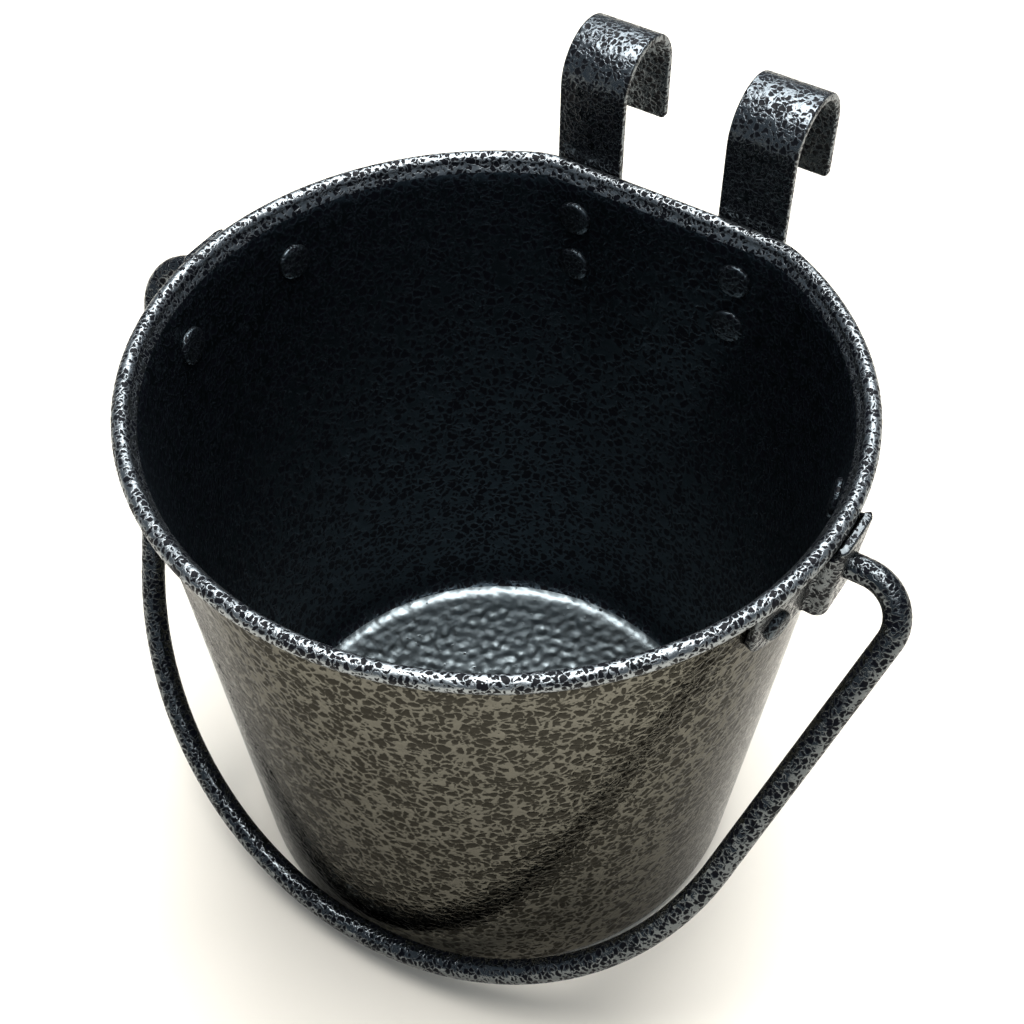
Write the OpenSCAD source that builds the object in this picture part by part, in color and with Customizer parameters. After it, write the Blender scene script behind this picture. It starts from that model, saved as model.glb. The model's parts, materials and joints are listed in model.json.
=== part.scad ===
// Flat-backed feed bucket with two hook-over straps and a swinging wire bail.
// Units are millimetres. The origin is the centre of the base's underside, +Z is up,
// +Y points out of the flat back with the hooks, and the bail hinges along X.

/* [Bucket] */
// Outer diameter over the rolled rim
rim_outer_d = 165; // [160:1:170]
// Height of the middle of the rolled rim above the ground
rim_h = 145; // [140:1:150]
// Diameter of the rolled rim's bead
bead_d = 4; // [3.8:0.1:4.2]
// Outer diameter of the tapered wall where the rim's flare starts
wall_top_d = 155.8; // [155.4:0.1:156]
// Outer diameter that the tapered wall would have at ground level
wall_ground_d = 127.2; // [124:0.4:130]
// Thickness of the bucket's sheet
sheet_t = 1; // [0.9:0.1:1.1]
// Outer radius of the pressed corner round the base
base_corner_r = 7; // [5:0.5:9]
// How far the flat back cuts into the round of the rim
flat_cut = 6.5; // [6:0.1:7]
// Plan radius of the two corners where the flat back meets the round
flat_corner_r = 24; // [20:1:26]

/* [Hooks] */
// Width of each hook strap
hook_w = 17.5; // [16:0.5:19]
// Distance between the middles of the two hook straps
hook_spacing = 44.6; // [43:0.2:46]
// Thickness of the strap that the hooks and the ears are bent from
strap_t = 2; // [1.8:0.1:2.2]
// Widest board or rail that the hooks go over
hook_throat = 20; // [18:0.5:24]
// Height of the hook bend's centre above the middle of the rim
hook_bend_h = 21; // [19:0.2:24]
// Height of the hook's free tip above the middle of the rim
hook_tip_h = 5; // [4:0.2:12]
// Depth of the strap's lower end below the middle of the rim
hook_foot_drop = 33; // [32:0.5:38]
// Depth of the upper hook rivet below the middle of the rim
upper_rivet_drop = 11.2; // [11:0.1:12]
// Depth of the lower hook rivet below the middle of the rim
lower_rivet_drop = 25.5; // [25:0.5:27]

/* [Ears] */
// Height of each bail ear
ear_h = 20.6; // [19:0.2:22]
// Length of each bail ear from flange end to flange end
ear_len = 51; // [50:0.5:54]
// Length of the ear's raised middle
ear_mid_len = 15.8; // [15:0.2:17]
// Height of the ear's outer face above the wall
ear_rise = 6.6; // [6.4:0.1:7]
// Angle round the bucket from the ear's middle to each ear rivet
ear_rivet_angle = 14.2; // [13.8:0.1:14.6]
// Depth of the ear rivets below the middle of the rim
ear_rivet_drop = 13.4; // [12:0.1:14]

/* [Bail] */
// Wire diameter
wire_d = 6; // [5.6:0.1:6]
// Diameter of the bail's hole in each ear
ear_hole_d = 6.16; // [6.14:0.01:6.18]
// Depth of the hinge axis below the middle of the rim
pivot_drop = 10; // [9.6:0.1:10.6]
// Distance of the hinge axis behind the bucket's centre
pivot_y = 2.6; // [2:0.1:3]
// Centre-line radius of the bail's crown
crown_r = 83.4; // [83:0.1:84]
// Distance from the hinge axis to the crown's centre of curvature
crown_offset = 58.5; // [58:0.1:60]
// Angle that each straight leg splays outwards
leg_splay = 13.5; // [13:0.1:14]
// Centre-line radius of the shoulder bends
shoulder_r = 9.5; // [9:0.1:10]
// Angle of the resting bail below horizontal
rest_angle = 60; // [56:0.1:60]

/* [Rivets] */
// Diameter of a rivet's shank
shank_d = 4; // [3.6:0.1:4]
// Diameter of a rivet's outer head
head_d = 7; // [6.4:0.1:7]
// Height of a rivet's outer head
head_h = 1.7; // [1.4:0.1:1.8]
// Diameter of a rivet's head inside the bucket
inner_head_d = 9; // [7:0.2:9.4]
// Height of a rivet's head inside the bucket
inner_head_h = 1.3; // [1.1:0.1:1.6]

/* [Hidden] */
$fn = 128;
// Gap round a rivet's shank, on the radius
shank_gap = 0.05;
// Small overlap that lets two solids of one piece join
weld = 0.02;
// Small overlap, in degrees, between the two bends of a strap's step
weld_angle = 0.5;
// Two round stretches stop this far short of each other inside a collar, which is barely proud of them
joint_short = 0.1;
collar_proud = 0.05;
collar_len = 0.4;
// Clearance left between the ears and the rolled rim
bead_gap = 0.4;
// How much wider the wall's plan is than its taper's top, so that only the back and its corners are cut
plan_ease = 0.05;
// Depth of the upright lip below the bead's middle, its lap on the tapered wall, and its step outwards
lip_h = 3.5;
lip_lap = 0.5;
lip_out = 0.8;
// Rounds to a thousandth, so that shapes worked out in different ways meet exactly
function tidy(v) = round(v * 1000) / 1000;

// The rim's middle line in plan: a circle, a straight back and two corner arcs
path_r = (rim_outer_d - bead_d) / 2;
flat_y = path_r - flat_cut;
corner_y = flat_y - flat_corner_r;
corner_x = sqrt(pow(path_r - flat_corner_r, 2) - pow(corner_y, 2));
corner_angle = atan2(corner_y, corner_x);

// The tapered wall
wall_top_z = rim_h - lip_h + lip_lap;
wall_taper = atan2((wall_top_d - wall_ground_d) / 2, wall_top_z);
wall_outer_off = wall_top_d / 2 + plan_ease - path_r;
wall_inner_off = wall_outer_off - sheet_t;
function wall_r(z) = (wall_ground_d + (wall_top_d - wall_ground_d) * z / wall_top_z) / 2;

// The hinge axis and the ears
pivot_z = rim_h - pivot_drop;
ear_middle_angle = atan2(pivot_y, wall_r(pivot_z));

// The hook straps: lower part against the wall, upper part just outside the bead
strap_low_y = flat_y + wall_outer_off;
strap_high_y = flat_y + bead_d / 2 + 0.05;
step_off = strap_high_y - strap_low_y;
step_r = 1.5 * strap_t;
step_angle = acos(1 - step_off / (2 * step_r));
step_top_z = rim_h - bead_d / 2 + 0.1;
step_low_z = tidy(step_top_z - 2 * step_r * sin(step_angle));
hook_in_r = hook_throat / 2;
hook_out_r = hook_in_r + strap_t;
hook_centre_y = strap_high_y + hook_out_r;
hook_centre_z = rim_h + hook_bend_h;

// The bail in its own plane, where y runs away from the hinge axis
leg_len = (crown_offset + crown_r * sin(leg_splay) - shoulder_r * (1 + sin(leg_splay))) / cos(leg_splay);
leg_low = [crown_r * cos(leg_splay), crown_offset + crown_r * sin(leg_splay)];
leg_high = leg_low + leg_len * [sin(leg_splay), -cos(leg_splay)];
shoulder_c = leg_high - shoulder_r * [cos(leg_splay), sin(leg_splay)];
ear_inner_x = wall_r(pivot_z) + (ear_rise - strap_t) / cos(wall_taper);
end_head_d = 9;
end_head_t = 2;
end_head_x = ear_inner_x - end_head_t - 0.6;

// A flat head on the concave wall touches at its edge, so it stands off by the arc's height
ear_head_gap = 0.02 + pow(inner_head_d / 2, 2) / (2 * (wall_r(rim_h - ear_rivet_drop) - sheet_t));
hook_rivet_drop = [upper_rivet_drop, lower_rivet_drop];

// ---- Shared shapes ----

// Plan outline that keeps a fixed distance from the rim's middle line
module plan_outline(off) {
    far = 2 * path_r;
    difference() {
        circle(r = path_r + off);
        polygon([[0, 0], far * [cos(corner_angle), sin(corner_angle)],
            far * [-cos(corner_angle), sin(corner_angle)]]);
    }
    for (side = [-1, 1])
        translate([side * corner_x, corner_y])
            circle(r = flat_corner_r + off);
    polygon([[0, -1], [corner_x, corner_y], [corner_x, flat_y + off],
        [-corner_x, flat_y + off], [-corner_x, corner_y]]);
}

// Round bar bent in an arc; it stops a little short at both ends, where collars join it on
module bent_bar(bar_d, bend_r, from_angle, turn) {
    short = joint_short / bend_r * 180 / PI;
    rotate([0, 0, from_angle + short])
        rotate_extrude(angle = turn - 2 * short)
            translate([bend_r, 0])
                circle(d = bar_d);
}

// Straight round bar along z, also a little short at both ends
module straight_bar(bar_d, len) {
    translate([0, 0, joint_short])
        cylinder(d = bar_d, h = len - 2 * joint_short);
}

// Collar that joins two stretches of bar where an arc ends, at that end's angle
module joint_collar(bar_d, end_angle) {
    rotate([90, 0, end_angle])
        cylinder(d = bar_d + 2 * collar_proud, h = collar_len, center = true);
}

// Solid of the tapered wall's outside, or of its inside when set in by the sheet
module wall_cone(inset, from_z, corner_r) {
    low_r = wall_r(0) - inset;
    corner_rim = low_r + wall_run(from_z) - corner_r * tan(45 - wall_taper / 2);
    rotate_extrude() {
        difference() {
            polygon([[0, from_z], [low_r + wall_run(from_z), from_z],
                [low_r + wall_run(rim_h), rim_h], [0, rim_h]]);
            translate([corner_rim, from_z - 1])
                square([corner_r + 5, 1 + corner_r * (1 - sin(wall_taper)) ]);
        }
        intersection() {
            translate([corner_rim, from_z + corner_r])
                circle(r = corner_r);
            translate([corner_rim - weld, from_z])
                square([corner_r + 1, corner_r]);
        }
    }
}
function wall_run(z) = tan(wall_taper) * z;

// Moves its children to a rivet's place on the wall: z runs outwards through the wall
module at_ear_rivet(side, end) {
    rotate([0, 0, side > 0 ? 0 : 180])
        rotate([0, 0, (side > 0 ? 1 : -1) * (ear_middle_angle + end * ear_rivet_angle)])
            translate([wall_r(rim_h - ear_rivet_drop), 0, rim_h - ear_rivet_drop])
                rotate([0, 90 + wall_taper, 0])
                    children();
}

module at_hook_rivet(side, row) {
    translate([side * hook_spacing / 2, strap_low_y, rim_h - hook_rivet_drop[row]])
        rotate([-90, 0, 0])
            children();
}

module rivet_hole() {
    translate([0, 0, -10])
        cylinder(d = shank_d + 2 * shank_gap, h = 20);
}

// Button head: a short edge with a low dome on it
module rivet_head(d, h) {
    edge_h = 0.5;
    dome_h = h - edge_h;
    dome_r = (pow(d / 2, 2) + pow(dome_h, 2)) / (2 * dome_h);
    cylinder(d = d, h = edge_h);
    intersection() {
        translate([0, 0, h - dome_r])
            sphere(r = dome_r);
        translate([0, 0, edge_h - weld])
            cylinder(d = d, h = h);
    }
}

// Rivet's shank through the sheet and the strap, with the outer head; inner_gap is that under the inner head
module rivet_shank(inner_gap) {
    low = -sheet_t - inner_gap;
    translate([0, 0, low - weld])
        cylinder(d = shank_d, h = strap_t - low + 2 * weld);
    translate([0, 0, strap_t])
        rivet_head(head_d, head_h);
}

module rivet_inner_head(inner_gap) {
    translate([0, 0, -sheet_t - inner_gap])
        mirror([0, 0, 1])
            rivet_head(inner_head_d, inner_head_h);
}

// The round room inside the tapered wall
module wall_room() {
    cylinder(r1 = wall_r(0) - sheet_t - weld, r2 = wall_r(rim_h) - sheet_t - weld, h = rim_h);
}

// ---- Bucket ----

// Corner of the bead between the round and the straight back
module bead_corner() {
    translate([corner_x, corner_y, 0]) {
        bent_bar(bead_d, flat_corner_r, corner_angle, 90 - corner_angle);
        for (end_angle = [corner_angle, 90])
            translate(flat_corner_r * [cos(end_angle), sin(end_angle), 0])
                joint_collar(bead_d, end_angle);
    }
}

// Bead of the rolled rim: a round bar along the rim's middle line
module bead() {
    bent_bar(bead_d, path_r, 180 - corner_angle, 180 + 2 * corner_angle);
    translate([-corner_x, flat_y, 0])
        rotate([0, 90, 0])
            straight_bar(bead_d, 2 * corner_x);
    bead_corner();
    mirror([1, 0, 0])
        bead_corner();
}

// Upright lip that carries the bead
module lip() {
    difference() {
        linear_extrude(lip_h)
            plan_outline(wall_outer_off + lip_out);
        translate([0, 0, -1])
            linear_extrude(lip_h + 2)
                plan_outline(wall_inner_off + lip_out);
    }
}

module pail_body() {
    color("#33373b")
        difference() {
            union() {
                difference() {
                    intersection() {
                        wall_cone(0, 0, base_corner_r);
                        linear_extrude(wall_top_z)
                            plan_outline(wall_outer_off);
                    }
                    intersection() {
                        wall_cone(sheet_t, sheet_t, base_corner_r - sheet_t);
                        linear_extrude(rim_h)
                            plan_outline(wall_inner_off);
                    }
                }
                translate([0, 0, rim_h - lip_h])
                    lip();
                translate([0, 0, rim_h])
                    bead();
            }
            for (side = [-1, 1], end = [-1, 1])
                at_ear_rivet(side, end)
                    rivet_hole();
            for (side = [-1, 1], row = [0, 1])
                at_hook_rivet(side, row)
                    rivet_hole();
        }
}

// ---- Ears ----

// Block with its two outer corners rounded, standing on the wall's surface
module ear_block(rise, len, r) {
    translate([-5, -len / 2])
        square([5 + rise - r, len]);
    translate([-5, r - len / 2])
        square([5 + rise, len - 2 * r]);
    for (side = [-1, 1])
        translate([rise - r, side * (len / 2 - r)])
            circle(r = r);
}

// Hat-shaped strap in plan: two flanges that follow the wall and a raised middle
module ear_plan() {
    bend_r = 3;
    difference() {
        union() {
            intersection() {
                translate([-wall_r(pivot_z), -pivot_y])
                    difference() {
                        circle(r = wall_r(pivot_z) + strap_t);
                        circle(r = wall_r(pivot_z) - 1);
                    }
                square([20, ear_len + 2], center = true);
            }
            ear_block(ear_rise, ear_mid_len, bend_r);
        }
        ear_block(ear_rise - strap_t, ear_mid_len - 2 * strap_t, bend_r - strap_t);
    }
}

// Outline of the ear seen from its own side, with rounded ends
module ear_side() {
    r = 5;
    for (end = [-1, 1], edge = [-1, 1])
        translate([edge * (ear_h / 2 - r), end * (ear_len / 2 - r)])
            circle(r = r);
    square([ear_h - 2 * r, ear_len], center = true);
    square([ear_h, ear_len - 2 * r], center = true);
}

// Room for the rolled rim and the flare, kept free of the ear
module bead_room() {
    room_r = bead_d / 2 + bead_gap;
    rotate_extrude() {
        translate([path_r, rim_h])
            circle(r = room_r);
        translate([path_r - 12, rim_h - lip_h - bead_gap])
            square([12, 12]);
        translate([path_r - 1, rim_h])
            square([room_r + 1, 8]);
    }
}

module ear() {
    difference() {
        translate([wall_r(pivot_z), pivot_y, pivot_z])
            rotate([0, wall_taper, 0])
                intersection() {
                    translate([0, 0, -ear_h / 2])
                        linear_extrude(ear_h)
                            ear_plan();
                    translate([-10, 0, 0])
                        rotate([0, 90, 0])
                            linear_extrude(30)
                                ear_side();
                }
        wall_cone(0, 0, base_corner_r);
        bead_room();
        translate([wall_r(pivot_z), pivot_y, pivot_z])
            rotate([0, 90, 0])
                cylinder(d = ear_hole_d, h = 20);
        for (end = [-1, 1])
            at_ear_rivet(1, end)
                rivet_hole();
    }
}

module right_ear() {
    color("#2c2f33")
        ear();
}

module left_ear() {
    color("#2c2f33")
        mirror([1, 0, 0])
            ear();
}

// ---- Bail ----

// One side of the bail in its own plane, from the crown's end to the head inside the ear
module bail_side() {
    translate([leg_low[0], leg_low[1], 0]) {
        joint_collar(wire_d, leg_splay);
        rotate([90, 0, leg_splay])
            straight_bar(wire_d, leg_len);
    }
    translate([leg_high[0], leg_high[1], 0])
        joint_collar(wire_d, leg_splay);
    translate([shoulder_c[0], shoulder_c[1], 0])
        bent_bar(wire_d, shoulder_r, -90, 90 + leg_splay);
    translate([shoulder_c[0], 0, 0])
        joint_collar(wire_d, -90);
    translate([end_head_x, 0, 0])
        rotate([0, 90, 0]) {
            cylinder(d = end_head_d, h = end_head_t);
            translate([0, 0, end_head_t / 2])
                cylinder(d = wire_d, h = shoulder_c[0] - end_head_x - end_head_t / 2 - joint_short);
        }
}

module bail_handle() {
    color("#26292c")
        translate([0, pivot_y, pivot_z])
            rotate([180 + rest_angle, 0, 0]) {
                translate([0, crown_offset, 0])
                    bent_bar(wire_d, crown_r, leg_splay, 180 - 2 * leg_splay);
                bail_side();
                mirror([1, 0, 0])
                    bail_side();
            }
}

// ---- Hooks ----

// Part of a ring between two angles, measured from +x towards +y
module ring_arc(in_r, out_r, from_angle, to_angle) {
    far = 3 * out_r;
    mid_angle = (from_angle + to_angle) / 2;
    intersection() {
        difference() {
            circle(r = out_r);
            circle(r = in_r);
        }
        polygon([[0, 0], far * [cos(from_angle), sin(from_angle)],
            far * [cos(mid_angle), sin(mid_angle)], far * [cos(to_angle), sin(to_angle)]]);
    }
}

// Side view of a hook: x here is the bucket's y, and y here is its height
module hook_profile() {
    foot_z = rim_h - hook_foot_drop;
    translate([strap_low_y, foot_z])
        square([strap_t, step_low_z - foot_z]);
    translate([strap_low_y + strap_t / 2 + step_r, step_low_z])
        ring_arc(step_r - strap_t / 2, step_r + strap_t / 2, 180 - step_angle - weld_angle, 180);
    translate([strap_high_y + strap_t / 2 - step_r, step_top_z])
        ring_arc(step_r - strap_t / 2, step_r + strap_t / 2, -step_angle, 0);
    translate([strap_high_y, step_top_z])
        square([strap_t, hook_centre_z - step_top_z]);
    translate([hook_centre_y, hook_centre_z]) {
        ring_arc(hook_in_r, hook_out_r, 0, 90);
        ring_arc(hook_in_r, hook_out_r, 90, 180);
    }
    translate([hook_centre_y + hook_in_r, rim_h + hook_tip_h])
        square([strap_t, hook_centre_z - rim_h - hook_tip_h]);
}

// Strap outline from the back, with slightly rounded corners at the foot
module strap_outline() {
    r = 3;
    foot_z = rim_h - hook_foot_drop;
    translate([-hook_w / 2, foot_z + r])
        square([hook_w, 100]);
    translate([r - hook_w / 2, foot_z])
        square([hook_w - 2 * r, 2 * r]);
    for (side = [-1, 1])
        translate([side * (hook_w / 2 - r), foot_z + r])
            circle(r = r);
}

module hook(side) {
    difference() {
        translate([side * hook_spacing / 2, 0, 0])
            intersection() {
                translate([-hook_w / 2, 0, 0])
                    rotate([90, 0, 90])
                        linear_extrude(hook_w)
                            hook_profile();
                translate([0, 2 * path_r, 0])
                    rotate([90, 0, 0])
                        linear_extrude(2 * path_r)
                            strap_outline();
            }
        for (row = [0, 1])
            at_hook_rivet(side, row)
                rivet_hole();
    }
}

module left_hook() {
    color("#30343a")
        hook(-1);
}

module right_hook() {
    color("#30343a")
        hook(1);
}

// ---- Rivets ----

module ear_rivet(side, end) {
    color("#3b3f43")
        at_ear_rivet(side, end) {
            rivet_shank(ear_head_gap);
            rivet_inner_head(ear_head_gap);
        }
}

// A head on the flat back is trimmed where it would run into the round wall
module hook_rivet(side, row) {
    color("#3b3f43") {
        at_hook_rivet(side, row)
            rivet_shank(0);
        intersection() {
            at_hook_rivet(side, row)
                rivet_inner_head(0);
            wall_room();
        }
    }
}

module left_ear_rivet_front() { ear_rivet(-1, -1); }
module left_ear_rivet_rear() { ear_rivet(-1, 1); }
module right_ear_rivet_front() { ear_rivet(1, -1); }
module right_ear_rivet_rear() { ear_rivet(1, 1); }
module left_hook_rivet_upper() { hook_rivet(-1, 0); }
module left_hook_rivet_lower() { hook_rivet(-1, 1); }
module right_hook_rivet_upper() { hook_rivet(1, 0); }
module right_hook_rivet_lower() { hook_rivet(1, 1); }

pail_body();
left_ear();
right_ear();
bail_handle();
left_hook();
right_hook();
left_ear_rivet_front();
left_ear_rivet_rear();
right_ear_rivet_front();
right_ear_rivet_rear();
left_hook_rivet_upper();
left_hook_rivet_lower();
right_hook_rivet_upper();
right_hook_rivet_lower();
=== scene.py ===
"""Looks of a flat-backed feed bucket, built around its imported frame.

Units are metres, with +Z up and +Y out of the flat back.
"""
import json
import math

import bmesh
import bpy
import numpy as np
from mathutils import Matrix, Vector


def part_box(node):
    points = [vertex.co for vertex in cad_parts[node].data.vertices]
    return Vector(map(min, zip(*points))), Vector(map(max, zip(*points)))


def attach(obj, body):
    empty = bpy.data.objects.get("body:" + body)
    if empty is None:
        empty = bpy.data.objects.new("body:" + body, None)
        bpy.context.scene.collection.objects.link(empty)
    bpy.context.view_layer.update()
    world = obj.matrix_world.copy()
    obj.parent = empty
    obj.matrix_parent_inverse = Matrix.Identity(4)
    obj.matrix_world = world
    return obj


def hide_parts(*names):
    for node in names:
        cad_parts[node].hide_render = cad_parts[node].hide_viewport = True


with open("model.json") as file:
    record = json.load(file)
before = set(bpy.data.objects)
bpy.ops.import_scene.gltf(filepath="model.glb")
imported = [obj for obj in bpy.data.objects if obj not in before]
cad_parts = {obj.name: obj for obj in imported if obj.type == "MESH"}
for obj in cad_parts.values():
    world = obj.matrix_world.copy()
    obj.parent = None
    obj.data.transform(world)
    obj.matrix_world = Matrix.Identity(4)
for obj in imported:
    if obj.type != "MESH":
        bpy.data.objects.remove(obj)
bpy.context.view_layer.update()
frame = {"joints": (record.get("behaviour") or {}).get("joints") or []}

# ---- Middle line of the rolled rim and the hinge, from the frame ----

BEAD_R = 0.002
pail_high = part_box("pail_body")[1]
RIM_R = pail_high.x - BEAD_R
RIM_Z = pail_high.z - BEAD_R
BACK_Y = pail_high.y - BEAD_R
HINGE = Vector(frame["joints"][0]["pos_m"])

# ---- Sizes of the sheet, the straps, the wire and the rivets ----

SHEET_T = 0.001
LIP_H = 0.003
WALL_TOP_R = 0.0779
WALL_GROUND_R = 0.0636
WALL_TOP_Z = RIM_Z - LIP_H
WALL_OFF = WALL_TOP_R - RIM_R
TAPER = math.atan2(WALL_TOP_R - WALL_GROUND_R, WALL_TOP_Z)
BASE_CORNER_R = 0.007

STRAP_T = 0.002
STRAP_EDGE_R = 0.0005

WIRE_R = 0.003
CROWN_R = 0.0834
CROWN_OFFSET = 0.0585
LEG_SPLAY = math.radians(13.5)
SHOULDER_R = 0.0095
REST_ANGLE = math.radians(60)

HEAD_R = 0.0035
HEAD_H = 0.0017
INNER_HEAD_R = 0.0045
INNER_HEAD_H = 0.0013
EAR_HEAD_GAP = 0.00015
SHANK_R = 0.002


def wall_radius(z):
    """Outer radius of the tapered wall at a height."""
    return WALL_GROUND_R + (WALL_TOP_R - WALL_GROUND_R) * z / WALL_TOP_Z


# ---- Meshes ----

SHARP_ANGLE = math.radians(38)
BEND_ANGLE_STEP = math.radians(5)


def new_object(name, data):
    """Adds an object to the scene."""
    thing = bpy.data.objects.new(name, data)
    bpy.context.scene.collection.objects.link(thing)
    return thing


def full_turn(count):
    """Angles of evenly spaced points round a circle."""
    return np.arange(count) * 2 * np.pi / count


def loft(name, rings):
    """Closed mesh through rings of equal point counts, with a flat cap at each end."""
    count = len(rings[0])
    faces = []
    for row in range(len(rings) - 1):
        low, high = row * count, (row + 1) * count
        for i in range(count):
            j = (i + 1) % count
            faces.append((low + i, low + j, high + j, high + i))
    last = (len(rings) - 1) * count
    faces.append(tuple(range(count - 1, -1, -1)))
    faces.append(tuple(range(last, last + count)))
    mesh = bpy.data.meshes.new(name)
    mesh.from_pydata(np.concatenate(rings).tolist(), [], faces)
    mesh.update()
    return mesh


def finish_mesh(mesh):
    """Turns the faces outwards and shades them smooth, apart from hard edges."""
    work = bmesh.new()
    work.from_mesh(mesh)
    bmesh.ops.recalc_face_normals(work, faces=work.faces)
    work.to_mesh(mesh)
    work.free()
    mesh.polygons.foreach_set("use_smooth", [True] * len(mesh.polygons))
    mesh.set_sharp_from_angle(angle=SHARP_ANGLE)


def add_piece(mesh, body, node, material):
    """Puts a finished mesh in the scene in place of its frame node."""
    finish_mesh(mesh)
    mesh.materials.append(material)
    piece = new_object(mesh.name, mesh)
    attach(piece, body)
    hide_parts(node)
    return piece


def bend(start, heading, moves, step=0.001):
    """Points, headings and distances along a flat path.

    A move is a length, or (radius, turn) for a bend.
    """
    points, headings, distances = [np.array(start, float)], [heading], [0.0]
    for move in moves:
        radius, turn = move if isinstance(move, tuple) else (0, 0)
        run = radius * abs(turn) if radius else move
        count = max(1, math.ceil(run / step), math.ceil(abs(turn) / BEND_ANGLE_STEP))
        chord = 2 * radius * math.sin(abs(turn) / count / 2) if radius else run / count
        for _ in range(count):
            middle = headings[-1] + turn / count / 2
            points.append(points[-1] + chord * np.array([math.cos(middle), math.sin(middle)]))
            headings.append(headings[-1] + turn / count)
            distances.append(distances[-1] + run / count)
    return np.array(points), np.array(headings), np.array(distances)


# ---- Bucket body ----

BACK_BLEND = 0.002
PLAN_STEPS = 360
PLAN_ANGLES = full_turn(PLAN_STEPS)

HUB_R = 0.001
BASE_RINGS = 8
CORNER_RINGS = 10
WALL_RINGS = 46
FLOOR_RINGS = 54
FLOOR_CORNER_RINGS = 5

# The rings between the wall and the rolled rim. A drop is measured from the wall's top for WALL_END, and
# from the bead's middle for the others. LEAD_OUT and LEAD_IN are measured from the wall's outer face, and
# CURL_END_IN from the bead's inner side.
WALL_END_DROP = 0.002
LEAD_DROP = 0.0018
LEAD_OUT = 0.0008
LEAD_IN = 0.0006
CURL_END_DROP = 0.0007
CURL_END_IN = 0.0005


def plan_radius(round_r, back_y):
    """Polar radius of the bucket's plan: a circle cut by the straight back, with soft corners."""
    least_sine, far_away = 0.2, 1.0
    sine = np.sin(PLAN_ANGLES)
    to_back = np.where(sine > least_sine, back_y / np.maximum(sine, least_sine), far_away)
    share = np.clip(0.5 + 0.5 * (to_back - round_r) / BACK_BLEND, 0, 1)
    return to_back * (1 - share) + round_r * share - BACK_BLEND * share * (1 - share)


def polar_ring(radius, z):
    """Ring of points from polar radii and heights, each one number or one a point."""
    around = np.broadcast_to(radius, PLAN_ANGLES.shape)
    return np.stack([
        around * np.cos(PLAN_ANGLES),
        around * np.sin(PLAN_ANGLES),
        np.broadcast_to(z, PLAN_ANGLES.shape),
    ], axis=1)


def rim_ring(off, z):
    """Ring at a fixed distance outside the rim's middle line."""
    middle = polar_ring(plan_radius(RIM_R, BACK_Y), z)
    along = np.roll(middle, -1, axis=0) - np.roll(middle, 1, axis=0)
    normal = np.stack([along[:, 1], -along[:, 0], np.zeros(PLAN_STEPS)], axis=1)
    return middle + off * normal / np.linalg.norm(normal, axis=1)[:, None]


def wall_ring(z, inset):
    """Ring round the tapered wall at a height, inset from its outer face."""
    return polar_ring(plan_radius(wall_radius(z) - inset, BACK_Y + WALL_OFF - inset), z)


def corner_rings(corner_r, low_z, inset):
    """Rings round the base's pressed corner, from the flat up to the wall."""
    low_r = wall_radius(low_z) - inset
    centre_r = low_r - corner_r * math.tan(math.pi / 4 - TAPER / 2)
    rings = []
    for angle in np.linspace(-math.pi / 2, -TAPER, CORNER_RINGS):
        rings.append(polar_ring(
            centre_r + corner_r * math.cos(angle),
            low_z + corner_r * (1 + math.sin(angle)),
        ))
    return rings


def floor_lumps(radius, edge_r):
    """Height of the soft lumps on the inner floor: crossing waves that fade out before the corner."""
    wave_count, golden_angle, phase_step = 11, 2.39996, 1.7
    shortest_wave, wave_growth, wave_h = 0.0026, 0.00016, 0.00005
    fade_width = 0.0015
    x, y = radius * np.cos(PLAN_ANGLES), radius * np.sin(PLAN_ANGLES)
    height = np.zeros(PLAN_STEPS)
    for i in range(wave_count):
        along = x * math.cos(i * golden_angle) + y * math.sin(i * golden_angle)
        wave_length = shortest_wave + wave_growth * i
        height += np.sin(2 * np.pi * along / wave_length + phase_step * i)
    fade = np.clip((edge_r - radius) / fade_width, 0, 1)
    return wave_h * fade * height


def rolled_rim():
    """Rings round the rolled rim, from under its outside to its inside, with the seam of the cut edge."""
    seam_angle, seam_width, seam_depth = math.radians(-48), math.radians(5), 0.0003
    first_angle, last_angle, ring_count = math.radians(-140), math.radians(175), 53
    rings = []
    for angle in np.linspace(first_angle, last_angle, ring_count):
        dip = seam_depth * math.exp(-((angle - seam_angle) / seam_width) ** 2)
        radius = BEAD_R - dip
        rings.append(rim_ring(radius * math.cos(angle), RIM_Z + radius * math.sin(angle)))
    return rings


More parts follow.
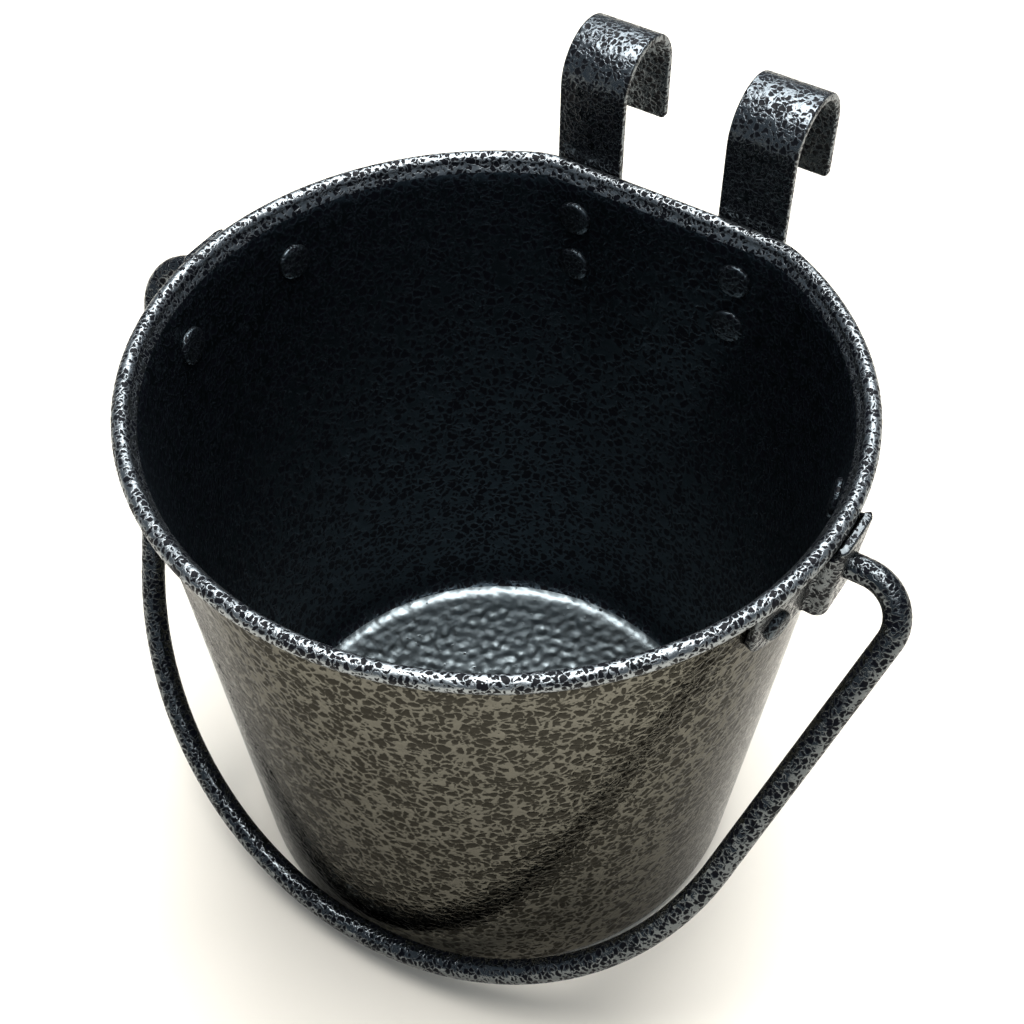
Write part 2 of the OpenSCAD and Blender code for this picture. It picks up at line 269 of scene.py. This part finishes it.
def bucket_shell(materials):
    """Shell of one sheet. The materials are those of its outside, its rim, its inside and its floor."""
    wall_end = WALL_TOP_Z - WALL_END_DROP
    lead_z = RIM_Z - LEAD_DROP
    outer_corner = corner_rings(BASE_CORNER_R, 0, 0)
    inner_corner = corner_rings(BASE_CORNER_R - SHEET_T, SHEET_T, SHEET_T)
    flat_r = np.linalg.norm(outer_corner[0][0][:2])
    floor_r = np.linalg.norm(inner_corner[0][0][:2])
    outer_heights = np.linspace(BASE_CORNER_R, wall_end, WALL_RINGS)[1:]
    inner_heights = np.linspace(wall_end, BASE_CORNER_R + SHEET_T, WALL_RINGS)[:-1]
    outside = [polar_ring(radius, 0) for radius in np.linspace(HUB_R, flat_r, BASE_RINGS)[:-1]]
    outside += outer_corner
    outside += [wall_ring(z, 0) for z in outer_heights]
    outside.append(rim_ring(WALL_OFF + LEAD_OUT, lead_z))
    # The rim zone takes the brighter copy of the paint, and its last faces run down inside to the first
    # inside ring as a painted lit band under the bead.
    rim = rolled_rim() + [rim_ring(-BEAD_R - CURL_END_IN, RIM_Z - CURL_END_DROP)]
    inside = [rim_ring(WALL_OFF - LEAD_IN, lead_z)]
    inside += [wall_ring(z, SHEET_T) for z in inner_heights]
    # The corner's lower rings take the floor's brighter copy and its upper rings the inner wall's darker
    # copy: painted light on the corner's ring, painted shade above it.
    inside += inner_corner[FLOOR_CORNER_RINGS:][::-1]
    floor = inner_corner[:FLOOR_CORNER_RINGS][::-1]
    for radius in np.linspace(floor_r, HUB_R, FLOOR_RINGS)[1:]:
        floor.append(polar_ring(radius, SHEET_T + floor_lumps(radius, floor_r)))
    zones = (outside, rim, inside, floor)
    mesh = loft("bucket_shell", sum(zones, []))
    zone_of_ring = np.repeat(range(len(zones)), [len(rings) for rings in zones])
    zone_of_face = np.append(np.repeat(zone_of_ring[:-1], PLAN_STEPS), (0, len(zones) - 1))
    mesh.polygons.foreach_set("material_index", zone_of_face)
    piece = add_piece(mesh, "bucket", "pail_body", materials[0])
    for material in materials[1:]:
        piece.data.materials.append(material)
    return piece


# ---- Straps ----


def strap_section(half_t, half_w, edge_r):
    """Closed outline (thickness, width) of a strap's section, with rounded edges."""
    edge_points = 6
    outline = []
    for quarter, (side_t, side_w) in enumerate(((1, 1), (-1, 1), (-1, -1), (1, -1))):
        for angle in np.linspace(quarter * math.pi / 2, (quarter + 1) * math.pi / 2, edge_points):
            outline.append((
                side_t * (half_t - edge_r) + edge_r * math.cos(angle),
                side_w * (half_w - edge_r) + edge_r * math.sin(angle),
            ))
    return np.array(outline)


def rounding(distance, corner_r):
    """How far a rounded corner holds an outline back, at a distance from its end."""
    short = max(corner_r - distance, 0)
    return corner_r - math.sqrt(max(corner_r ** 2 - short ** 2, 0))


def strap(name, path, limits, corner_rs, origin, axes):
    """Strap of rounded section along a bent path.

    limits gives the strap's two edges at a point of the path, corner_rs the radii of its end corners, and
    axes the directions of the path's two coordinates and of the width.
    """
    corner_steps, least_gap, least_edge_r = 9, 0.0002, 0.00005
    points, headings, distances = path
    length = distances[-1]
    turns = 1 - np.cos(np.linspace(0, math.pi / 2, corner_steps))
    near = [corner_rs[0] * turn for turn in turns]
    far = [length - corner_rs[1] * turn for turn in turns[::-1]]
    between = [d for d in distances if near[-1] + least_gap < d < far[0] - least_gap]
    rings = []
    for along in near + between + far:
        heading = np.interp(along, distances, headings)
        centre = np.array([np.interp(along, distances, points[:, k]) for k in (0, 1)])
        low, high = limits(centre)
        inset = rounding(min(along, length - along), STRAP_EDGE_R)
        held_back = rounding(along, corner_rs[0]) + rounding(length - along, corner_rs[1])
        section = strap_section(
            STRAP_T / 2 - inset,
            (high - low) / 2 - held_back - inset,
            max(STRAP_EDGE_R - inset, least_edge_r),
        )
        across = np.array([-math.sin(heading), math.cos(heading)])
        flat = centre + section[:, :1] * across
        width = section[:, 1] + (low + high) / 2
        rings.append(np.array(origin) + np.column_stack([flat, width]) @ np.array(axes))
    return loft(name, rings)


HOOK_FOOT_R = 0.003
HOOK_TIP_R = 0.0012
HOOK_TIP_H = 0.005
HOOK_THROAT_R = 0.010
HOOK_STEP_R = 0.003


def hook(node, material):
    """Strap riveted to the back: up past the rim with a small step, over in a half circle, and a tip."""
    low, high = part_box(node)
    half_w = (high.x - low.x) / 2
    foot_y = BACK_Y + WALL_OFF + STRAP_T / 2
    front_y = BACK_Y + BEAD_R + STRAP_T / 2
    step_turn = math.acos(1 - (front_y - foot_y) / (2 * HOOK_STEP_R))
    step_top = RIM_Z - BEAD_R
    step_low = step_top - 2 * HOOK_STEP_R * math.sin(step_turn)
    bend_r = HOOK_THROAT_R + STRAP_T / 2
    bend_z = high.z - bend_r - STRAP_T / 2
    path = bend((foot_y, low.z), math.pi / 2, [
        step_low - low.z,
        (HOOK_STEP_R, -step_turn),
        (HOOK_STEP_R, step_turn),
        bend_z - step_top,
        (bend_r, -math.pi),
        bend_z - RIM_Z - HOOK_TIP_H,
    ])
    mesh = strap(
        node + "_strap",
        path,
        limits=lambda point: (-half_w, half_w),
        corner_rs=(HOOK_FOOT_R, HOOK_TIP_R),
        origin=((low.x + high.x) / 2, 0, 0),
        axes=((0, 1, 0), (0, 0, 1), (1, 0, 0)),
    )
    return add_piece(mesh, "bucket", node, material)


EAR_H = 0.0206
EAR_LEN = 0.051
EAR_MID_LEN = 0.0158
EAR_RISE = 0.0066
EAR_BEND_R = 0.002
EAR_END_R = 0.005
EAR_HOLE_R = 0.00308
EAR_BORE_LEN = 0.008
EAR_RIM_GAP = 0.0004
EAR_LIP_GAP = 0.0009
EAR_FACE_OUT = 0.0008
EAR_PATH_STEP = 0.0006


def ear_path():
    """Middle line of the ear in plan, as (outwards from the wall, along it).

    It runs over the front flange, the raised middle and the rear flange.
    """
    wall_r = wall_radius(HINGE.z)
    flange_r = wall_r + STRAP_T / 2
    side = EAR_MID_LEN / 2 - STRAP_T / 2
    top = EAR_RISE - STRAP_T / 2
    front_end = math.asin((HINGE.y - EAR_LEN / 2) / flange_r)
    rear_end = math.asin((HINGE.y + EAR_LEN / 2) / flange_r)
    front_foot = math.asin((HINGE.y - side - EAR_BEND_R) / (flange_r + EAR_BEND_R))
    rear_foot = math.asin((HINGE.y + side + EAR_BEND_R) / (flange_r + EAR_BEND_R))
    front_up = top - EAR_BEND_R + wall_r - (flange_r + EAR_BEND_R) * math.cos(front_foot)
    rear_down = top - EAR_BEND_R + wall_r - (flange_r + EAR_BEND_R) * math.cos(rear_foot)
    start = (flange_r * math.cos(front_end) - wall_r, flange_r * math.sin(front_end) - HINGE.y)
    quarter = math.pi / 2
    return bend(start, quarter + front_end, [
        (flange_r, front_foot - front_end),
        (EAR_BEND_R, -quarter - front_foot),
        front_up,
        (EAR_BEND_R, quarter),
        2 * side - 2 * EAR_BEND_R,
        (EAR_BEND_R, quarter),
        rear_down,
        (EAR_BEND_R, rear_foot - quarter),
        (flange_r, rear_end - rear_foot),
    ], step=EAR_PATH_STEP)


def ear_limits(point):
    """Lower and upper edge of the ear: full height on the raised middle, cut back under the rolled rim."""
    room_r = BEAD_R + EAR_RIM_GAP
    past_bead = wall_radius(HINGE.z) + point[0] + EAR_FACE_OUT - RIM_R
    under_lip = WALL_TOP_Z - EAR_LIP_GAP - HINGE.z
    if past_bead >= room_r:
        return -EAR_H / 2, EAR_H / 2
    if past_bead <= 0:
        return -EAR_H / 2, under_lip
    under_bead = RIM_Z - HINGE.z - math.sqrt(room_r ** 2 - past_bead ** 2)
    return -EAR_H / 2, min(under_bead, EAR_H / 2)


def cut_bore(piece, centre, radius, length):
    """Drills a round bore along X through a piece."""
    sides = 48
    angles = full_turn(sides)
    circle = np.stack([angles * 0, radius * np.cos(angles), radius * np.sin(angles)], axis=1)
    ends = [np.array(centre) + circle + np.array([side * length / 2, 0, 0]) for side in (-1, 1)]
    drill_mesh = loft("drill", ends)
    finish_mesh(drill_mesh)
    drill = new_object("drill", drill_mesh)
    cut = piece.modifiers.new("bore", "BOOLEAN")
    cut.object = drill
    bpy.context.view_layer.update()
    drilled = bpy.data.meshes.new_from_object(piece.evaluated_get(bpy.context.evaluated_depsgraph_get()))
    piece.modifiers.clear()
    drilled.name = piece.name
    piece.data = drilled
    drilled.set_sharp_from_angle(angle=SHARP_ANGLE)
    bpy.data.objects.remove(drill)


def ear(node, side, material):
    """Hat-shaped strap that holds one end of the bail; side is +1 on the right."""
    cosine, sine = math.cos(TAPER), math.sin(TAPER)
    mesh = strap(
        node + "_strap",
        ear_path(),
        limits=ear_limits,
        corner_rs=(EAR_END_R, EAR_END_R),
        origin=(side * wall_radius(HINGE.z), HINGE.y, HINGE.z),
        axes=((side * cosine, 0, -sine), (0, 1, 0), (side * sine, 0, cosine)),
    )
    piece = add_piece(mesh, "bucket", node, material)
    bore_middle = (side * (wall_radius(HINGE.z) + EAR_RISE), HINGE.y, HINGE.z)
    cut_bore(piece, bore_middle, EAR_HOLE_R, EAR_BORE_LEN)
    return piece


# ---- Bail ----

END_HEAD_R = 0.0045
END_HEAD_T = 0.002
END_HEAD_GAP = 0.0006
END_HEAD_STEPS = [0.0001, 0.0003, 0.0012, 0.0003, 0.0001, 0.00002]
END_HEAD_ROUNDING = np.array([0.0004, 0.00015, 0, 0, 0.00015, 0.0004])


def wire(name, path, radii, origin, axes, sides=32):
    """Round wire along a flat path, with a radius at each of its points."""
    angles = full_turn(sides)
    rings = []
    for point, heading, radius in zip(path[0], path[1], radii):
        across = np.array([-math.sin(heading), math.cos(heading)])
        flat = point + radius * np.cos(angles)[:, None] * across
        section = np.column_stack([flat, radius * np.sin(angles)])
        rings.append(np.array(origin) + section @ np.array(axes))
    return loft(name, rings)


def bail(material):
    """Wire bail: a head inside each ear, two shoulders, two straight legs and the round crown."""
    sine, cosine = math.sin(LEG_SPLAY), math.cos(LEG_SPLAY)
    leg_len = (CROWN_OFFSET + CROWN_R * sine - SHOULDER_R * (1 + sine)) / cosine
    shoulder_x = CROWN_R * cosine + leg_len * sine - SHOULDER_R * cosine
    ear_inner_x = wall_radius(HINGE.z) + (EAR_RISE - STRAP_T) / math.cos(TAPER)
    head_x = ear_inner_x - END_HEAD_GAP - END_HEAD_T
    stub_len = shoulder_x - head_x - sum(END_HEAD_STEPS)
    shoulder_turn = -math.pi / 2 - LEG_SPLAY
    moves = END_HEAD_STEPS + [
        stub_len,
        (SHOULDER_R, shoulder_turn),
        leg_len,
        (CROWN_R, 2 * LEG_SPLAY - math.pi),
        leg_len,
        (SHOULDER_R, shoulder_turn),
        stub_len,
    ] + END_HEAD_STEPS[::-1]
    path = bend((-head_x, 0), math.pi, moves)
    radii = np.full(len(path[0]), WIRE_R)
    head_radii = END_HEAD_R - END_HEAD_ROUNDING
    radii[:len(head_radii)] = head_radii
    radii[-len(head_radii):] = head_radii[::-1]
    down = (0, -math.cos(REST_ANGLE), -math.sin(REST_ANGLE))
    axes = ((1, 0, 0), down, (0, math.sin(REST_ANGLE), -math.cos(REST_ANGLE)))
    mesh = wire("bail_wire", path, radii, HINGE, axes)
    return add_piece(mesh, "bail", "bail_handle", material)


# ---- Rivets ----


def head_profile(radius, height):
    """Profile (radius, height) of a flat button head with a rounded edge, from its edge to its middle."""
    boxiness, last_angle, point_count = 0.5, 1.54, 16
    angles = np.linspace(0, last_angle, point_count)
    return list(zip(radius * np.cos(angles) ** boxiness, height * np.sin(angles) ** boxiness))


def rivet(node, axis, gap, material):
    """Rivet along an outward axis, with its box centred on its node's.

    gap is the room between the sheet and its inner head.
    """
    sides = 40
    inner_end, outer_end = -SHEET_T - gap, STRAP_T
    profile = [(r, inner_end - z) for r, z in head_profile(INNER_HEAD_R, INNER_HEAD_H)[::-1]]
    profile += [(SHANK_R, inner_end), (SHANK_R, outer_end)]
    profile += [(r, outer_end + z) for r, z in head_profile(HEAD_R, HEAD_H)]
    turn = np.array(Vector(axis).to_track_quat("Z", "Y").to_matrix())
    angles = full_turn(sides)
    rings = []
    for radius, z in profile:
        ring = np.stack([radius * np.cos(angles), radius * np.sin(angles), np.full(sides, z)], axis=1)
        rings.append(ring @ turn.T)
    points = np.concatenate(rings)
    low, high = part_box(node)
    shift = np.array(low + high) / 2 - (points.min(axis=0) + points.max(axis=0)) / 2
    mesh = loft(node + "_body", [ring + shift for ring in rings])
    return add_piece(mesh, "bucket", node, material)


def wall_normal(node):
    """Outward normal of the tapered wall at a rivet."""
    low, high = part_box(node)
    middle = (low + high) / 2
    flat = Vector((middle.x, middle.y, 0)).normalized()
    return flat * math.cos(TAPER) - Vector((0, 0, math.sin(TAPER)))


# ---- Materials ----


def shader_node(tree, kind, inputs=(), **settings):
    """Adds a shader node. inputs pairs a socket's name or number with a value or another node's output."""
    new = tree.nodes.new(kind)
    for name, value in settings.items():
        setattr(new, name, value)
    for socket, value in inputs:
        if isinstance(value, bpy.types.NodeSocket):
            tree.links.new(value, new.inputs[socket])
        else:
            new.inputs[socket].default_value = value
    return new


def blank_material(name):
    """New material without nodes, and its node tree."""
    material = bpy.data.materials.new(name)
    material.use_nodes = True
    material.node_tree.nodes.clear()
    return material, material.node_tree


def show_skin(tree, skin):
    """Makes a shader the surface of its material."""
    out = shader_node(tree, "ShaderNodeOutputMaterial")
    tree.links.new(skin.outputs["BSDF"], out.inputs["Surface"])


def noise(tree, place, scale, detail):
    """Noise texture over the object's own coordinates."""
    return shader_node(tree, "ShaderNodeTexNoise", [
        ("Vector", place), ("Scale", scale), ("Detail", detail),
    ])


def add_scaled(tree, value, scale, base):
    """base plus value times scale."""
    return shader_node(tree, "ShaderNodeMath", [
        (0, value), (1, scale), (2, base),
    ], operation="MULTIPLY_ADD").outputs["Value"]


def soft_step_down(tree, value, start, end):
    """1 where a value is below start, 0 where it is above end, and a soft slope between."""
    return shader_node(tree, "ShaderNodeMapRange", [
        ("Value", value), ("From Min", start), ("From Max", end), ("To Min", 1), ("To Max", 0),
    ], interpolation_type="SMOOTHSTEP").outputs["Result"]


# The enamel's pattern. Scales are per cell, and the weights say how far each noise moves the net's edge.
STIR_SCALE, STIR_DETAIL, STIR_REACH = 0.9, 3, 1.2
FINE_SCALE, FINE_DETAIL, FINE_WEIGHT = 2.5, 2, 0.40
PATCH_SCALE, PATCH_DETAIL, PATCH_WEIGHT = 0.6, 1, -0.50
LUMP_SCALE, LUMP_DETAIL = 0.7, 1
NOISE_MEAN = 0.5
NET_BLUR = 0.04
DIMPLE_START, DIMPLE_END = -0.12, 0.2
DIMPLE_DEPTH = 0.0001
LUMP_HEIGHT = 0.0003


def hammered_enamel(
    name, cell=0.0015, silver=(0.18, 0.195, 0.205), black=(0.0025, 0.003, 0.005),
    gloss=0.15, rough=(0.5, 0.24), web=0.13, edge_tint=0.8, relief=1.0, dark_metal=False,
):
    """Hammered enamel: black dimples in a raised net of fine metal flake, over soft lumps.

    cell is the size of a dimple. rough gives the roughness of the dimples and of the net, web how much of
    the surface the net takes, and edge_tint how much it reflects at a grazing angle. relief scales the
    bumps. dark_metal makes the dimples a dark metal too.
    """
    material, tree = blank_material(name)
    place = shader_node(tree, "ShaderNodeTexCoord").outputs["Object"]
    stir = noise(tree, place, STIR_SCALE / cell, STIR_DETAIL)
    stirred = shader_node(tree, "ShaderNodeVectorMath", [
        (0, stir.outputs["Color"]), (1, (STIR_REACH * cell,) * 3), (2, place),
    ], operation="MULTIPLY_ADD").outputs["Vector"]
    cells = shader_node(tree, "ShaderNodeTexVoronoi", [
        ("Vector", stirred), ("Scale", 1 / cell),
    ], feature="DISTANCE_TO_EDGE").outputs["Distance"]
    fine = noise(tree, place, FINE_SCALE / cell, FINE_DETAIL)
    patch = noise(tree, place, PATCH_SCALE / cell, PATCH_DETAIL)
    ragged = add_scaled(tree, fine.outputs["Fac"], FINE_WEIGHT, cells)
    uneven = add_scaled(tree, patch.outputs["Fac"], PATCH_WEIGHT, ragged)
    edge = NOISE_MEAN * (FINE_WEIGHT + PATCH_WEIGHT) + web
    net = soft_step_down(tree, uneven, edge - NET_BLUR, edge + NET_BLUR)
    colour = shader_node(tree, "ShaderNodeMix", [
        (0, net), (6, (*black, 1)), (7, (*silver, 1)),
    ], data_type="RGBA").outputs[2]
    roughness = shader_node(tree, "ShaderNodeMapRange", [
        ("Value", net), ("To Min", rough[0]), ("To Max", rough[1]),
    ]).outputs["Result"]
    lumps = noise(tree, place, LUMP_SCALE / cell, LUMP_DETAIL)
    dimples = soft_step_down(tree, uneven, edge + DIMPLE_START, edge + DIMPLE_END)
    raised = shader_node(tree, "ShaderNodeBump", [
        ("Height", dimples), ("Distance", DIMPLE_DEPTH * relief), ("Strength", 1.0),
    ]).outputs["Normal"]
    bumpy = shader_node(tree, "ShaderNodeBump", [
        ("Height", lumps.outputs["Fac"]),
        ("Distance", LUMP_HEIGHT * relief),
        ("Strength", 1.0),
        ("Normal", raised),
    ]).outputs["Normal"]
    skin = shader_node(tree, "ShaderNodeBsdfPrincipled", [
        ("Base Color", colour),
        ("Metallic", 1.0 if dark_metal else net),
        ("Roughness", roughness),
        ("Normal", bumpy),
        ("Specular IOR Level", gloss),
        ("Specular Tint", (edge_tint, edge_tint, edge_tint, 1)),
    ])
    show_skin(tree, skin)
    return material


def floor_material():
    """Pale, dull studio floor with a faint grain."""
    grain_scale, grain_detail, floor_roughness = 6, 4, 0.9
    darker, lighter = (0.89, 0.83, 0.73, 1), (0.91, 0.85, 0.75, 1)
    material, tree = blank_material("pale_floor")
    place = shader_node(tree, "ShaderNodeTexCoord").outputs["Object"]
    grain = noise(tree, place, grain_scale, grain_detail)
    colour = shader_node(tree, "ShaderNodeMix", [
        (0, grain.outputs["Fac"]), (6, darker), (7, lighter),
    ], data_type="RGBA").outputs[2]
    skin = shader_node(tree, "ShaderNodeBsdfPrincipled", [
        ("Base Color", colour), ("Roughness", floor_roughness),
    ])
    show_skin(tree, skin)
    return material


# ---- Stage, light and camera ----


def stage_floor():
    """Flat floor under the bucket, wide enough for the whole view."""
    half = 4.0
    mesh = bpy.data.meshes.new("studio_floor")
    corners = [(-half, -half, 0), (half, -half, 0), (half, half, 0), (-half, half, 0)]
    mesh.from_pydata(corners, [], [(0, 1, 2, 3)])
    mesh.materials.append(floor_material())
    new_object("studio_floor", mesh)


def soft_light(name, place, size, power, colour):
    """Round soft light aimed at the middle of the rim."""
    aim = Vector((0, 0, RIM_Z))
    data = bpy.data.lights.new(name, "AREA")
    data.shape = "DISK"
    data.size = size
    data.energy = power
    data.color = colour
    light = new_object(name, data)
    light.location = place
    light.rotation_euler = (aim - Vector(place)).to_track_quat("-Z", "Y").to_euler()


def studio_light():
    """Large light overhead, a weak one in front, one behind, and a dim bluish world."""
    world_colour, world_strength = (0.70, 0.84, 1.0, 1), 0.25
    world = bpy.data.worlds.new("studio")
    bpy.context.scene.world = world
    world.use_nodes = True
    background = world.node_tree.nodes["Background"]
    background.inputs["Color"].default_value = world_colour
    background.inputs["Strength"].default_value = world_strength
    soft_light("overhead", place=(0.0, 0.1, 2.1), size=1.8, power=72, colour=(1.0, 1.0, 1.0))
    soft_light("front", place=(0.5, -0.8, 1.5), size=1.0, power=4, colour=(0.97, 0.99, 1.0))
    soft_light("rear", place=(-0.4, 1.1, 1.5), size=1.3, power=22, colour=(0.95, 0.98, 1.0))


def camera():
    """Camera over the bucket's front right, looking down into it."""
    azimuth, elevation, roll = math.radians(32.2), math.radians(47.92), math.radians(0.35)
    distance, aim_drop, aim_right, aim_up = 0.395, 0.04025, 0.0034, -0.001
    sensor_width, lens, clip_start = 36, 59.37, 0.01
    aim = Vector((0, 0, RIM_Z - aim_drop))
    back = Vector((
        math.sin(azimuth) * math.cos(elevation),
        -math.cos(azimuth) * math.cos(elevation),
        math.sin(elevation),
    ))
    level = Vector((math.cos(azimuth), math.sin(azimuth), 0))
    upright = back.cross(level)
    right = level * math.cos(roll) + upright * math.sin(roll)
    up = back.cross(right)
    data = bpy.data.cameras.new("camera")
    data.sensor_width = sensor_width
    data.lens = lens
    data.clip_start = clip_start
    view = new_object("camera", data)
    axes = Matrix((right, up, back)).transposed().to_4x4()
    place = aim + aim_right * level + aim_up * upright + distance * back
    view.matrix_world = Matrix.Translation(place) @ axes
    bpy.context.scene.camera = view


bpy.context.scene.view_settings.view_transform = "Standard"
camera()
stage_floor()
studio_light()

# ---- The finished pieces ----

# Outer wall: a dimmer, warm copy of the one hammered paint. The warm tint of its net and dimples is a
# painted reflection of warm surroundings, and its lower silver is painted shade.
outer_enamel_painted_warm_reflection = hammered_enamel(
    "bucket_enamel_painted_warm_reflection", cell=0.0024, silver=(0.150, 0.145, 0.123), black=(0.042, 0.040, 0.034),
    gloss=0.1, rough=(0.16, 0.10), web=0.10, edge_tint=0.45, relief=0.55, dark_metal=True,
)
# Rim: a brighter copy of the one paint, a painted highlight that widens and lifts the bright band along
# the bead.
rim_enamel_painted_highlight = hammered_enamel("rim_enamel_painted_highlight", silver=(0.26, 0.28, 0.29), rough=(0.5, 0.32))
# Inner wall: a dark, cool copy of the one paint, painted shade inside the bucket.
inner_enamel_painted_shade = hammered_enamel(
    "inner_enamel_painted_shade", cell=0.0023, silver=(0.048, 0.064, 0.076), gloss=0.1, rough=(0.5, 0.35),
)
# Inner floor: a brighter copy of the one paint, painted light on the floor beside the shaded inner wall.
# Its wide net and strong lumps are pattern and bumps.
floor_enamel_painted_light = hammered_enamel(
    "floor_enamel_painted_light", cell=0.0026, silver=(0.19, 0.22, 0.23), rough=(0.5, 0.32), web=0.5, relief=1.6,
)
# Hooks: a dimmer copy of the one paint, painted shade that tones down their crowns and inner faces.
hook_enamel_painted_shade = hammered_enamel("hook_enamel_painted_shade", silver=(0.125, 0.14, 0.15))
# Ears: a dimmer copy of the one paint, painted shade for the ears under the rim.
ear_enamel_painted_shade = hammered_enamel("ear_enamel_painted_shade", silver=(0.12, 0.13, 0.135))
# Bail: a dimmer copy of the one paint with little gloss on its dimples, painted shade for the wire's dark
# underside.
bail_enamel_painted_shade = hammered_enamel(
    "bail_enamel_painted_shade", silver=(0.10, 0.11, 0.115), gloss=0.05, rough=(0.35, 0.15),
)
# Rivets: a dark copy of the one paint, painted shade like the inner wall's.
rivet_enamel_painted_shade = hammered_enamel("rivet_enamel_painted_shade", silver=(0.075, 0.09, 0.10), rough=(0.5, 0.35))

bucket_shell((outer_enamel_painted_warm_reflection, rim_enamel_painted_highlight, inner_enamel_painted_shade, floor_enamel_painted_light))
for side_name in ("left", "right"):
    hook(side_name + "_hook", hook_enamel_painted_shade)
ear("left_ear", -1, ear_enamel_painted_shade)
ear("right_ear", 1, ear_enamel_painted_shade)
bail(bail_enamel_painted_shade)
for side_name in ("left", "right"):
    for end in ("front", "rear"):
        name = f"{side_name}_ear_rivet_{end}"
        rivet(name, wall_normal(name), EAR_HEAD_GAP, rivet_enamel_painted_shade)
    for row in ("upper", "lower"):
        rivet(f"{side_name}_hook_rivet_{row}", (0, 1, 0), 0, rivet_enamel_painted_shade)
